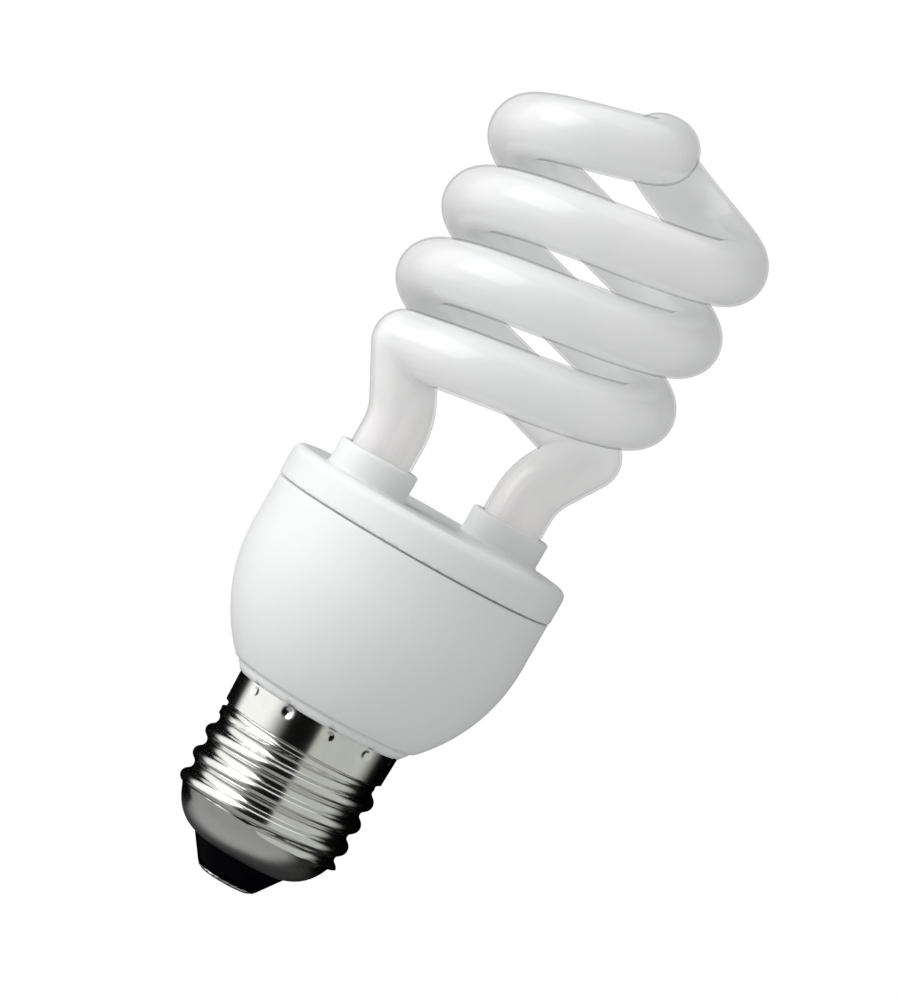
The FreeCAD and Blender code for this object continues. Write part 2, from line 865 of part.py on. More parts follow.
def axial_part(place, size):
    """A part that lies on the board's top between two legs bent down to it."""
    radius, length = size
    half = lead_width / 2
    level = board_top + radius + axial_standoff
    along = Vector(0, length / 2, 0)
    middle = place + UP * level
    body = cylinder(radius, middle - along, middle + along)
    rims = [edge for edge in body.Edges if len(edge.Vertexes) == 1]
    body = body.makeFillet(radius / 4, rims)
    legs = []
    for side in (-1, 1):
        end = middle + along * side
        foot = end + Vector(0, axial_lead_reach * side, 0)
        reach = axial_lead_reach + lead_width
        wire = (end + foot) / 2
        legs.append(block(wire, lead_width, reach, level - half, level + half))
        legs.append(block(foot, lead_width, lead_width, board_top, level + half))
    return body.fuse(legs).removeSplitter()


def axial_row(place, pitch, count, size):
    steps = [Vector(pitch * index, 0, 0) for index in range(count)]
    return Part.makeCompound([axial_part(place + step, size) for step in steps])


def rectifier_diodes():
    return axial_row(on_board(0.34, 147.7), diode_pitch, 4, diode_size)


def resistors():
    return axial_row(on_board(0.317, 232.8), resistor_pitch, 4, resistor_size)


def diac():
    return axial_part(on_board(0.581, 145.6), diac_size)


def filter_choke():
    """A drum core under the board, wound between its flanges."""
    place = on_board(0.729, 47)
    top = place + UP * filter_top
    bottom = top - UP * filter_length
    flange = UP * filter_flange
    drum = cylinder(filter_radius, bottom, top)
    waist = cylinder(filter_radius + 1, bottom + flange, top - flange)
    waist = waist.cut(cylinder(filter_radius - filter_groove, bottom, top))
    across = polar(filter_radius * 0.6, 45, 0)
    legs = legs_down([place - across, place + across], top.z - lead_grip, board_height)
    return drum.cut(waist).fuse(legs).removeSplitter()


def fusible_resistor():
    """On the axis under the can, with a wire down into the contact's rivet."""
    body = cylinder(fuse_radius, UP * fuse_bottom, UP * fuse_top)
    rims = [edge for edge in body.Edges if len(edge.Vertexes) == 1]
    body = body.makeFillet(fuse_edge, rims)
    tail_end = contact_thickness + fit_clearance
    tail = cylinder(mains_wire_radius, UP * tail_end, UP * (fuse_bottom + lead_grip))
    return body.fuse(tail).removeSplitter()


def live_lead():
    """From the board past the can to the top of the fusible resistor."""
    across_height = (can_bottom + fuse_top) / 2
    start = polar(live_circle_radius, live_wire_azimuth, board_height)
    turn = Vector(start.x, start.y, across_height + mains_wire_bend)
    return bent_rod([start, turn, UP * across_height, UP * fuse_top], mains_wire_radius, mains_wire_bend)


def neutral_lead():
    """From the board down through the neck, then out to the shell's wall."""
    level = neck_bottom_height - neutral_wire_drop
    reach = thread_root_radius - sheet - mains_wire_radius - fit_clearance
    start = polar(neutral_circle_radius, neutral_wire_azimuth, board_height)
    turn = polar(neutral_circle_radius, neutral_wire_azimuth, level)
    end = polar(reach, neutral_wire_azimuth, level - neutral_wire_drop / 3)
    return bent_rod([start, turn, end], mains_wire_radius, 2 * mains_wire_bend)


NODES = {
    "discharge_tube": discharge_tube,
    "tube_cement": tube_cement,
    "screw_shell": screw_shell,
    "cap_insulator": cap_insulator,
    "centre_contact": centre_contact,
    "lower_housing": lower_housing,
    "upper_cover": upper_cover,
    "circuit_board": circuit_board,
    "wrap_pins": wrap_pins,
    "tube_leads": tube_leads,
    "choke_core": choke_core,
    "choke_bobbin": choke_bobbin,
    "choke_winding": choke_winding,
    "drive_core": drive_core,
    "drive_winding": drive_winding,
    "bulk_capacitor": bulk_capacitor,
    "resonant_capacitor": resonant_capacitor,
    "coupling_capacitor": coupling_capacitor,
    "snubber_capacitor": snubber_capacitor,
    "thermistor": thermistor,
    "transistor_upper": transistor_upper,
    "transistor_lower": transistor_lower,
    "rectifier_diodes": rectifier_diodes,
    "resistors": resistors,
    "diac": diac,
    "filter_choke": filter_choke,
    "fusible_resistor": fusible_resistor,
    "live_lead": live_lead,
    "neutral_lead": neutral_lead,
}


def main():
    os.makedirs("parts", exist_ok=True)
    for node, make in NODES.items():
        shape = make()
        shape.exportStep("parts/" + node + ".step")
        print(node, shape.isValid(), len(shape.Solids), round(shape.Volume, 1), flush=True)


main()
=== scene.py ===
import bpy
import json
import math
from mathutils import Matrix, Vector

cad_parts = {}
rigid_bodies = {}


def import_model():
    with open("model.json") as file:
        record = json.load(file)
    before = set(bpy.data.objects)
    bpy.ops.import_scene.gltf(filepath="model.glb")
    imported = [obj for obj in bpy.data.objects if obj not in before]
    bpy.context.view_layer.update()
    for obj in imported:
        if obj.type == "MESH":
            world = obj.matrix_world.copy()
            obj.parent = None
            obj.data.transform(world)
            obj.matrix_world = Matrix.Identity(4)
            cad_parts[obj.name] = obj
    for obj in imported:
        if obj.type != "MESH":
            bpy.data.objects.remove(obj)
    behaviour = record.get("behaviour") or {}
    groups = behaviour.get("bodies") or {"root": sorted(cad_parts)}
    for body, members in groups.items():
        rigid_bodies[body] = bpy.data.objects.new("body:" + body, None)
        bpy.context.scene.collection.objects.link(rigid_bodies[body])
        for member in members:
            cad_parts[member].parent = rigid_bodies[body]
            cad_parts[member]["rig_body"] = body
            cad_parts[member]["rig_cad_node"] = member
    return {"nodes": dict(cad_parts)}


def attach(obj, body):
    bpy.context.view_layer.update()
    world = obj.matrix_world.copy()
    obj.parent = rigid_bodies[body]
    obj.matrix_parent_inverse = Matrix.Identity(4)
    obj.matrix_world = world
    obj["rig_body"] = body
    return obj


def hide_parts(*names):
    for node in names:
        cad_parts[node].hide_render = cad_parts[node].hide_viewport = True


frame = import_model()

bl_info = {
    "name": "Spiral Lamp",
    "version": (1, 0, 0),
    "blender": (4, 5, 0),
    "location": "3D View > Sidebar > Spiral Lamp",
    "description": "Glass, plastic and metal for a spiral energy saving lamp round its packed frame",
    "category": "Object",
}

MM = 0.001
BODY = "root"


# Shader maths

class Value:
    """A socket of a material, on which Python's operators add Math nodes."""

    def __init__(self, finish, socket):
        self.finish = finish
        self.socket = socket

    def __add__(self, other):
        return self.finish.math("ADD", self, other)

    def __sub__(self, other):
        return self.finish.math("SUBTRACT", self, other)

    def __rsub__(self, other):
        return self.finish.math("SUBTRACT", other, self)

    def __mul__(self, other):
        return self.finish.math("MULTIPLY", self, other)

    def __pow__(self, other):
        return self.finish.math("POWER", self, other)

    __radd__ = __add__
    __rmul__ = __mul__

    def beside(self, name):
        """Another output of the same node."""
        return Value(self.finish, self.socket.node.outputs[name])

    def ramp(self, low, high):
        """0 below low, 1 above high and smooth between them."""
        settings = {"interpolation_type": "SMOOTHSTEP"}
        inputs = {"Value": self, "From Min": low, "From Max": high}
        return self.finish.node("ShaderNodeMapRange", settings, inputs)


class Finish:
    """A node material, its nodes made one by one from a type, settings and inputs."""

    def __init__(self, name, tree=None):
        if tree is None:
            self.material = bpy.data.materials.new(name)
            self.material.use_nodes = True
            tree = self.material.node_tree
        self.tree = tree
        self.tree.nodes.clear()

    def node(self, kind, settings=None, inputs=None, output=0):
        node = self.tree.nodes.new(kind)
        for name, value in (settings or {}).items():
            setattr(node, name, value)
        for name, value in (inputs or {}).items():
            if isinstance(value, Value):
                self.tree.links.new(value.socket, node.inputs[name])
            else:
                node.inputs[name].default_value = value
        if not node.outputs:
            return node
        return Value(self, node.outputs[output])

    def math(self, operation, *values):
        return self.node("ShaderNodeMath", {"operation": operation}, dict(enumerate(values)))

    def place(self, stretch=(1, 1, 1)):
        """Object coordinates in millimetres, each multiplied by its stretch."""
        coordinates = self.node("ShaderNodeTexCoord", output="Object")
        inputs = {"Vector": coordinates, "Scale": [share / MM for share in stretch]}
        return self.node("ShaderNodeMapping", {"vector_type": "POINT"}, inputs)

    def height(self):
        """Height above the lamp's tip in millimetres."""
        return self.node("ShaderNodeSeparateXYZ", {}, {0: self.place()}, "Z")

    def noise(self, scale, detail=2.0, stretch=(1, 1, 1)):
        """Soft noise, its scale in cells to the millimetre."""
        inputs = {"Vector": self.place(stretch), "Scale": scale, "Detail": detail}
        return self.node("ShaderNodeTexNoise", {}, inputs)

    def blend(self, factor, low, high):
        """A colour between two, by a factor."""
        settings = {"data_type": "RGBA"}
        inputs = {0: factor, 6: low, 7: high}
        return self.node("ShaderNodeMix", settings, inputs, 2)

    def bump(self, height, distance, strength):
        """A Normal for a height whose full step is a distance in millimetres."""
        inputs = {"Height": height, "Distance": distance * MM, "Strength": strength}
        return self.node("ShaderNodeBump", {}, inputs)

    def surface(self, shader):
        """Ends the material with its shader."""
        self.node("ShaderNodeOutputMaterial", {}, {"Surface": shader})
        return self.material

    def principled(self, **inputs):
        named = {name.replace("_", " "): value for name, value in inputs.items()}
        return self.node("ShaderNodeBsdfPrincipled", {}, named)


def grey(level):
    return (level, level, level, 1.0)


def shade(colour, factor):
    """A colour made darker or lighter by a factor."""
    return tuple(channel * factor for channel in colour[:3]) + (1.0,)


# Heights between which a finish changes, in millimetres
COAT_THINS = (66, 82)
CURL_DULLS = (6.5, 9.0)


def coat_finish(values):
    """White powder inside the glass, thinner and pinker towards the ends, with faint streaks.

    Its small glow stands for the light that comes through the thin coat from behind.
    """
    finish = Finish("powder_coat")
    height = finish.height()
    cloud = finish.noise(0.05, 3.0, (1, 1, 0.6))
    streak = finish.noise(0.45, 2.0, (1, 1, 0.09))
    end = 1 - height.ramp(*COAT_THINS)
    white = finish.blend(cloud.ramp(0.35, 0.7), tuple(values.coat_low), tuple(values.coat_high))
    thin = finish.blend(streak.ramp(0.3, 0.7), tuple(values.coat_end), shade(values.coat_end, 1.1))
    colour = finish.blend(end, white, thin)
    glow = finish.blend(cloud.ramp(0.3, 0.7), (1, 0.985, 0.98, 1), (0.98, 1, 1, 1))
    return finish.surface(finish.principled(
        Base_Color=colour, Roughness=cloud * 0.1 + 0.5, Specular_IOR_Level=0.1,
        Subsurface_Weight=1.0, Subsurface_Radius=(1.0, 1.0, 0.97), Subsurface_Scale=0.006,
        Emission_Color=glow, Emission_Strength=values.glow))


# How much light the glass lets through on edge, where it paints shade along the tube's rim, and the most
# that it reflects there
RIM_SHADE_CLEARNESS = 0.5
MOST_SHEEN = 0.12


def glass_finish(values):
    """Clear glass: what lies behind it shows, with painted shade that greys the glass where it is seen on
    edge.
    """
    finish = Finish("clear_glass")
    facing = finish.node("ShaderNodeLayerWeight", {}, {"Blend": 0.5}, "Facing")
    # Painted shade: the glass turns grey towards its rim, standing in for the dark edge that refraction
    # through the wall gives
    edge = facing ** values.glass_rim_shade_power * values.glass_rim_shade
    clear = finish.node("ShaderNodeBsdfTransparent", {}, {"Color": grey(1)})
    painted_rim_shade = finish.node("ShaderNodeBsdfTransparent", {}, {"Color": grey(RIM_SHADE_CLEARNESS)})
    body = finish.node("ShaderNodeMixShader", {}, {0: edge, 1: clear, 2: painted_rim_shade})
    ripple = finish.bump(finish.noise(0.12, 1.0), 0.05, 0.3)
    sheen = finish.node("ShaderNodeFresnel", {}, {"IOR": 1.45}) * values.glass_gloss
    sheen = finish.math("MINIMUM", sheen, MOST_SHEEN)
    shiny = finish.node("ShaderNodeBsdfGlossy", {}, {"Color": grey(1), "Roughness": 0.22, "Normal": ripple})
    shader = finish.node("ShaderNodeMixShader", {}, {0: sheen, 1: body, 2: shiny})
    return finish.surface(shader)


def plastic_finish(values):
    """Moulded white plastic with a fine spark-eroded grain."""
    finish = Finish("white_plastic")
    grain = finish.noise(3.2, 3.0)
    cloud = finish.noise(0.035, 2.0)
    low = shade(values.plastic, 0.975)
    colour = finish.blend(cloud.ramp(0.35, 0.65), low, tuple(values.plastic))
    return finish.surface(finish.principled(
        Base_Color=colour, Roughness=grain * 0.12 + 0.38, Specular_IOR_Level=0.3,
        Subsurface_Weight=0.3, Subsurface_Radius=(1.0, 1.0, 1.0), Subsurface_Scale=0.0015,
        Normal=finish.bump(grain, 0.03, 0.35)))


def nickel_finish(values):
    """Bright nickel plate, slightly clouded, with fine rolling marks, duller on the curl."""
    finish = Finish("nickel_plate")
    marks = finish.noise(0.5, 2.0, (0.25, 0.25, 5))
    cloud = finish.noise(0.3, 3.0)
    colour = finish.blend(cloud.ramp(0.3, 0.7), shade(values.nickel, 0.94), tuple(values.nickel))
    curl = 1 - finish.height().ramp(*CURL_DULLS)
    dull = finish.blend(curl, colour, (0.95, 0.95, 0.94, 1))
    rough = cloud * 0.05 + values.nickel_roughness + curl * 0.14
    return finish.surface(finish.principled(
        Base_Color=dull, Metallic=1.0, Roughness=rough,
        Normal=finish.bump(marks, 0.003, 0.15)))


def black_glass_finish():
    """Opaque black glass with a fire-polished skin."""
    finish = Finish("black_glass")
    wave = finish.noise(0.5, 1.0)
    colour = finish.blend(wave, (0.0006, 0.0006, 0.001, 1), (0.0015, 0.0015, 0.003, 1))
    return finish.surface(finish.principled(
        Base_Color=colour, Roughness=wave * 0.08 + 0.12, Specular_IOR_Level=0.02,
        Normal=finish.bump(wave, 0.05, 0.3)))


def contact_finish():
    """The contact's tinned disc."""
    finish = Finish("contact_plate")
    dimple = finish.noise(1.4, 2.0)
    colour = finish.blend(dimple, (0.62, 0.61, 0.58, 1), (0.8, 0.79, 0.76, 1))
    return finish.surface(finish.principled(
        Base_Color=colour, Metallic=1.0, Roughness=dimple * 0.2 + 0.25,
        Normal=finish.bump(dimple, 0.03, 0.4)))


def moulded(name, low, high, rough, scale=1.5, metallic=0.0, depth=0.02, stretch=(1, 1, 1)):
    """A small part's finish: a mottled colour with a bump of the same grain."""
    finish = Finish(name)
    grain = finish.noise(scale, 3.0, stretch)
    colour = finish.blend(grain.ramp(0.3, 0.7), tuple(low) + (1,), tuple(high) + (1,))
    return finish.surface(finish.principled(
        Base_Color=colour, Roughness=grain * 0.1 + rough, Metallic=metallic,
        Normal=finish.bump(grain, depth, 0.5)))


# Meshes

# Points this near to each other are one point, in millimetres
MERGE_REACH = 0.002
# Edges sharper than this stay sharp, in degrees
PLASTIC_CREASE = 35
CAP_CREASE = 40
# Smoothing passes on the evened skins
TUBE_PASSES = 6
COVER_PASSES = 3


def deselect():
    bpy.ops.object.select_all(action="DESELECT")


def activate(piece):
    deselect()
    piece.select_set(True)
    bpy.context.view_layer.objects.active = piece


def merge_points(piece, face_out=False):
    """Joins points that share a place and, if asked, turns all faces outwards."""
    activate(piece)
    bpy.ops.object.mode_set(mode="EDIT")
    bpy.ops.mesh.select_all(action="SELECT")
    bpy.ops.mesh.remove_doubles(threshold=MERGE_REACH * MM)
    if face_out:
        bpy.ops.mesh.normals_make_consistent(inside=False)
    bpy.ops.object.mode_set(mode="OBJECT")


def node_copy(node, name):
    """A merged copy of a CAD node as a piece of its own."""
    source = frame["nodes"][node]
    activate(source)
    bpy.ops.object.duplicate()
    piece = bpy.context.view_layer.objects.active
    piece.name = name
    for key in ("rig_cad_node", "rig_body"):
        if key in piece:
            del piece[key]
    bpy.ops.object.parent_clear(type="CLEAR_KEEP_TRANSFORM")
    merge_points(piece)
    piece.data.name = name
    return piece


def apply_modifier(piece, kind, **settings):
    """Adds a modifier with its settings and applies it."""
    activate(piece)
    modifier = piece.modifiers.new(kind.title(), kind)
    for name, value in settings.items():
        setattr(modifier, name, value)
    bpy.ops.object.modifier_apply(modifier=modifier.name)


def even_skin(piece, voxel, passes):
    """Evens out a copy's mesh, so that round forms shade smoothly."""
    apply_modifier(piece, "REMESH", mode="VOXEL", voxel_size=voxel, use_smooth_shade=True)
    apply_modifier(piece, "CORRECTIVE_SMOOTH", iterations=passes, smooth_type="SIMPLE")
    activate(piece)
    bpy.ops.object.shade_smooth()


def finish_piece(piece, material, slot, *nodes):
    """Gives a piece its material and body, and hides the nodes that it stands for. The slot is not used."""
    piece.data.materials.clear()
    piece.data.materials.append(material)
    if nodes:
        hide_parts(*nodes)
    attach(piece, BODY)


def smooth_piece(piece, crease):
    """Shades a piece smoothly up to its creases."""
    activate(piece)
    bpy.ops.object.shade_smooth_by_angle(angle=math.radians(crease))
    apply_modifier(piece, "WEIGHTED_NORMAL", keep_sharp=True, weight=50)


def dress_node(node, material):
    """A CAD node that keeps its mesh and gets a better material."""
    mesh = frame["nodes"][node].data
    mesh.materials.clear()
    mesh.materials.append(material)


# The cap's sizes, in millimetres and degrees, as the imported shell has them, with softer dimples
SHEET = 0.35
CURL_LIP = (7.5, 4.35)
CURL_BULGE = (10.25, 6.0)
CURL_INSET = (-0.7, 0.7)
CURL_ROWS = 14
SHOULDER_HEIGHT = 9.0
THREAD_RISE = 1.0
THREAD_PITCH = 3.629
THREAD_ROOT = 12.05
THREAD_CREST = 13.1
THREAD_ZERO = 8.66
THREAD_ROUND = 1.025
THREAD_FADE = 72
THREAD_SINK = 1.5
RIDGE_RUN = (-60, 1290)
GROOVE_RUN = (-130, 1150)
RING_ROUND = 0.7
SKIRT_START = 22.8
SKIRT_RADIUS = 12.65
SKIRT_FLARE = 0.15
SHELL_TOP = 27.4
DIMPLE_COUNT = 12
DIMPLE_FIRST = -108
DIMPLE_DROP = 1.0
DIMPLE_DEPTH = 0.25
DIMPLE_REACH = 1.0
SHELL_COLUMNS = 360
THREAD_ROW = 0.1
SKIRT_ROW = 0.17


# Values that a user may change

class LampTubeValues(bpy.types.PropertyGroup):
    """The discharge tube's glass and coat."""
    glass_wall: bpy.props.FloatProperty(
        name="Glass wall", description="Clear glass in front of the coat",
        default=0.32 * MM, unit="LENGTH")
    voxel: bpy.props.FloatProperty(
        name="Mesh size", description="Mesh size of the tube's skin",
        default=0.45 * MM, unit="LENGTH")
    # Painted rim shade: how grey the glass is drawn where it is seen on edge, and how narrow that band is
    glass_rim_shade: bpy.props.FloatProperty(
        name="Edge tint", description="How grey the glass is where it is seen on edge", default=0.45)
    glass_rim_shade_power: bpy.props.FloatProperty(
        name="Edge width", description="Higher is narrower", default=2.2)
    glass_gloss: bpy.props.FloatProperty(
        name="Gloss", description="Strength of the glass's reflections", default=1.0)
    coat_low: bpy.props.FloatVectorProperty(
        name="Coat, thin", description="Coat where it is thinner",
        subtype="COLOR", size=4, default=(0.475, 0.49, 0.49, 1))
    coat_high: bpy.props.FloatVectorProperty(
        name="Coat", description="Coat colour",
        subtype="COLOR", size=4, default=(0.505, 0.505, 0.50, 1))
    coat_end: bpy.props.FloatVectorProperty(
        name="Coat, ends", description="Coat colour at the tube's ends",
        subtype="COLOR", size=4, default=(0.465, 0.45, 0.45, 1))
    glow: bpy.props.FloatProperty(
        name="Glow", description="Light that comes through the coat from behind", default=0.285)


class LampBodyValues(bpy.types.PropertyGroup):
    """The housing and the cap."""
    voxel: bpy.props.FloatProperty(
        name="Cover mesh size", description="Mesh size of the cover's skin",
        default=0.3 * MM, unit="LENGTH")
    plastic: bpy.props.FloatVectorProperty(
        name="Plastic", description="Housing colour",
        subtype="COLOR", size=4, default=(0.728, 0.743, 0.738, 1))
    nickel: bpy.props.FloatVectorProperty(
        name="Nickel", description="Cap colour",
        subtype="COLOR", size=4, default=(0.86, 0.862, 0.835, 1))
    nickel_roughness: bpy.props.FloatProperty(
        name="Nickel roughness", description="Roughness of the cap's plate", default=0.13)


class LampStageValues(bpy.types.PropertyGroup):
    """Camera, lights and floor."""
    floor_drop: bpy.props.FloatProperty(
        name="Floor drop", description="Floor below the contact", default=0.9, unit="LENGTH")
    key_strength: bpy.props.FloatProperty(
        name="Key", description="Power of the lamp on the left", default=6.2)
    fill_strength: bpy.props.FloatProperty(
        name="Fill", description="Power of the lamp behind on the left", default=1.1)
    top_strength: bpy.props.FloatProperty(
        name="Top", description="Power of the lamp overhead", default=0.2)
    world_level: bpy.props.FloatProperty(
        name="World", description="Level of the light from all round", default=0.70)


# Operators

class LAMP_OT_tube(bpy.types.Operator):
    """Clear glass skin and powder coat of the spiral tube"""
    bl_idname = "lamp.tube"
    bl_label = "Tube"

    def execute(self, context):
        values = context.scene.lamp_tube
        glass = node_copy("discharge_tube", "tube_glass")
        even_skin(glass, values.voxel, TUBE_PASSES)
        bpy.ops.object.duplicate()
        coat = context.view_layer.objects.active
        coat.name = "tube_coat"
        coat.data.name = "tube_coat"
        apply_modifier(coat, "DISPLACE", strength=-values.glass_wall, mid_level=0.0)
        finish_piece(glass, glass_finish(values), "tube_glass", "discharge_tube")
        finish_piece(coat, coat_finish(values), "tube_glass")
        return {"FINISHED"}


class LAMP_OT_housing(bpy.types.Operator):
    """Bowl and cover of the ballast housing, and the cement in its collars"""
    bl_idname = "lamp.housing"
    bl_label = "Housing"

    def execute(self, context):
        values = context.scene.lamp_body
        plastic = plastic_finish(values)
        bowl = node_copy("lower_housing", "housing_bowl")
        smooth_piece(bowl, PLASTIC_CREASE)
        finish_piece(bowl, plastic, "white_plastic", "lower_housing")
        cover = node_copy("upper_cover", "housing_cover")
        even_skin(cover, values.voxel, COVER_PASSES)
        finish_piece(cover, plastic, "white_plastic", "upper_cover")
        dress_node("tube_cement", moulded("cement", (0.6, 0.59, 0.56), (0.7, 0.69, 0.66), 0.8, 2.0))
        return {"FINISHED"}


def smooth_step(share):
    """0 below 0, 1 above 1 and smooth between them."""
    share = min(max(share, 0), 1)
    return share * share * (3 - 2 * share)


def thread_turns(azimuth, start, end):
    """Each turn of a thread that passes an azimuth, and how far its end has faded it."""
    turn = math.ceil((start - azimuth) / 360)
    while azimuth + 360 * turn <= end:
        run = azimuth + 360 * turn
        yield run, max(0, 1 - min(run - start, end - run) / THREAD_FADE) ** 2
        turn += 1


def thread_radius(azimuth, height):
    """The shell's outside between its curl and its skirt: rolled crests, roots and a ring groove."""
    middle = (THREAD_ROOT + THREAD_CREST) / 2
    share = (height - SHOULDER_HEIGHT) / THREAD_RISE
    radius = THREAD_ROOT + (middle - THREAD_ROOT) * min(share, 1)
    for run, fade in thread_turns(azimuth, *RIDGE_RUN):
        off = abs(height - THREAD_ZERO - THREAD_PITCH * run / 360)
        if off < THREAD_ROUND:
            centre = THREAD_CREST - THREAD_ROUND * (1 + THREAD_SINK * fade)
            radius = max(radius, centre + math.sqrt(THREAD_ROUND ** 2 - off ** 2))
    for run, fade in thread_turns(azimuth, *GROOVE_RUN):
        off = abs(height - THREAD_ZERO - THREAD_PITCH * (run / 360 + 0.5))
        if off < THREAD_ROUND:
            centre = THREAD_ROOT + THREAD_ROUND * (1 + THREAD_SINK * fade)
            radius = min(radius, centre - math.sqrt(THREAD_ROUND ** 2 - off ** 2))
    off = abs(height - SKIRT_START + RING_ROUND)
    if off < RING_ROUND:
        radius = min(radius, THREAD_ROOT + RING_ROUND - math.sqrt(RING_ROUND ** 2 - off ** 2))
    return radius


def skirt_radius(azimuth, height):
    """The skirt widens a little and has a ring of dimples that hold it to the neck."""
    share = (height - SKIRT_START) / (SHELL_TOP - SKIRT_START)
    radius = SKIRT_RADIUS + SKIRT_FLARE * share
    pitch = 360 / DIMPLE_COUNT
    off = (azimuth - DIMPLE_FIRST + pitch / 2) % pitch - pitch / 2
    reach = math.hypot(math.radians(off) * radius, height - SHELL_TOP + DIMPLE_DROP)
    return radius - DIMPLE_DEPTH * (1 - smooth_step(reach / DIMPLE_REACH))


def shell_rows():
    """Rows of the shell's section from the inside of its top, round its curl, and up its outside.

    Each row is a radius and a height, and a row of the thread or skirt has its radius as a function.
    """
    rows = [(SKIRT_RADIUS + SKIRT_FLARE - SHEET, SHELL_TOP), (SKIRT_RADIUS - SHEET, SKIRT_START)]
    rows += [(THREAD_ROOT - SHEET, SKIRT_START), (THREAD_ROOT - SHEET, SHOULDER_HEIGHT)]
    lip, bulge = Vector(CURL_LIP), Vector(CURL_BULGE)
    shoulder = Vector((THREAD_ROOT, SHOULDER_HEIGHT))
    control = 2 * bulge - (lip + shoulder) / 2
    curl = []
    for index in range(CURL_ROWS + 1):
        share = index / CURL_ROWS
        curl.append(lip * (1 - share) ** 2 + control * 2 * share * (1 - share) + shoulder * share ** 2)
    inset = Vector(CURL_INSET) * SHEET
    rows += [tuple(point + inset) for point in reversed(curl)] + [tuple(point) for point in curl]
    steps = round((SKIRT_START - SHOULDER_HEIGHT) / THREAD_ROW)
    rise = (SKIRT_START - SHOULDER_HEIGHT) / steps
    rows += [(thread_radius, SHOULDER_HEIGHT + rise * index) for index in range(1, steps + 1)]
    steps = round((SHELL_TOP - SKIRT_START) / SKIRT_ROW)
    rise = (SHELL_TOP - SKIRT_START) / steps
    rows += [(skirt_radius, SKIRT_START + rise * index) for index in range(steps + 1)]
    rows.append(rows[0])
    return rows


def rolled_shell(name):
    """A grid wrapped round the axis, its rows set to the shell's section.

    A swept screw can't fade a thread in and out of one sheet, so the rows are set point by point.
    """
    rows = shell_rows()
    bpy.ops.mesh.primitive_grid_add(x_subdivisions=SHELL_COLUMNS, y_subdivisions=len(rows) - 1, size=2)
    piece = bpy.context.view_layer.objects.active
    piece.name = name
    piece.data.name = name
    for vertex in piece.data.vertices:
        azimuth = 180 * vertex.co.x
        radius, height = rows[round((vertex.co.y + 1) / 2 * (len(rows) - 1))]
        if callable(radius):
            radius = radius(azimuth, height)
        angle = math.radians(azimuth)
        vertex.co = Vector((radius * math.cos(angle), radius * math.sin(angle), height)) * MM
    merge_points(piece, face_out=True)
    return piece


class LAMP_OT_cap(bpy.types.Operator):
    """Screw shell, black glass insulator and centre contact"""
    bl_idname = "lamp.cap"
    bl_label = "Cap"

    def execute(self, context):
        values = context.scene.lamp_body
        shell = rolled_shell("cap_shell")
        smooth_piece(shell, CAP_CREASE)
        finish_piece(shell, nickel_finish(values), "nickel_shell", "screw_shell")
        kinds = (
            ("cap_insulator", "cap_glass", black_glass_finish(), "black_glass"),
            ("centre_contact", "cap_contact", contact_finish(), "contact_metal"),
        )
        for node, name, material, slot in kinds:
            piece = node_copy(node, name)
            smooth_piece(piece, CAP_CREASE)
            finish_piece(piece, material, slot, node)
        return {"FINISHED"}


class LAMP_OT_inside(bpy.types.Operator):
    """Finishes of the circuit board and what it carries"""
    bl_idname = "lamp.inside"
    bl_label = "Inside"

    def execute(self, context):
        ferrite = moulded("ferrite", (0.05, 0.05, 0.055), (0.09, 0.09, 0.1), 0.6)
        package = moulded("package_black", (0.02, 0.02, 0.02), (0.05, 0.05, 0.05), 0.45)
        resin = moulded("red_resin", (0.4, 0.06, 0.03), (0.55, 0.11, 0.06), 0.25, 0.6)
        tinned = moulded("tinned_metal", (0.6, 0.6, 0.58), (0.78, 0.78, 0.76), 0.25, 3.0, 1.0)
        cover = moulded("wire_cover", (0.72, 0.72, 0.7), (0.82, 0.82, 0.8), 0.4)
        finishes = {
            "circuit_board": moulded("laminate", (0.5, 0.36, 0.18), (0.62, 0.46, 0.26), 0.5, 0.8),
            "wrap_pins": tinned,
            "tube_leads": tinned,
            "choke_core": ferrite,
            "drive_core": ferrite,
            "filter_choke": ferrite,
            "choke_bobbin": moulded("bobbin", (0.03, 0.03, 0.035), (0.08, 0.08, 0.09), 0.35),
            "choke_winding": moulded(
                "copper_winding", (0.4, 0.15, 0.05), (0.7, 0.33, 0.13), 0.25, 0.6, 1.0,
                depth=0.08, stretch=(0.2, 0.2, 12)),
            "drive_winding": moulded("winding_wire", (0.6, 0.48, 0.12), (0.8, 0.66, 0.24), 0.35),
            "bulk_capacitor": moulded("can_sleeve", (0.02, 0.025, 0.05), (0.05, 0.06, 0.11), 0.3),
            "resonant_capacitor": resin,
            "coupling_capacitor": resin,
            "snubber_capacitor": moulded("disc_resin", (0.6, 0.3, 0.06), (0.75, 0.44, 0.13), 0.4),
            "thermistor": moulded("thermistor_resin", (0.03, 0.13, 0.09), (0.07, 0.22, 0.15), 0.35),
            "transistor_upper": package,
            "transistor_lower": package,
            "rectifier_diodes": package,
            "resistors": moulded("resistor_coat", (0.66, 0.53, 0.32), (0.8, 0.68, 0.48), 0.45),
            "diac": moulded("bead_glass", (0.06, 0.14, 0.25), (0.16, 0.3, 0.45), 0.15),
            "fusible_resistor": moulded("woven_sleeve", (0.66, 0.63, 0.52), (0.82, 0.8, 0.7), 0.8, 4.0),
            "live_lead": cover,
            "neutral_lead": cover,
        }
        for node, material in finishes.items():
            dress_node(node, material)
        return {"FINISHED"}


# Camera found by matching the lamp's outline, with angles in degrees and focal length in pixels
VIEW_CENTRE = Vector((0, 0, 64)) * MM
VIEW_RISE = 2.5
VIEW_ROLL = 29.747
VIEW_DISTANCE = 730.075 * MM
VIEW_AIM = (0.933 * MM, -1.114 * MM)
VIEW_FOCUS = 5151.492
IMAGE_HEIGHT = 1000
SENSOR_HEIGHT = 36


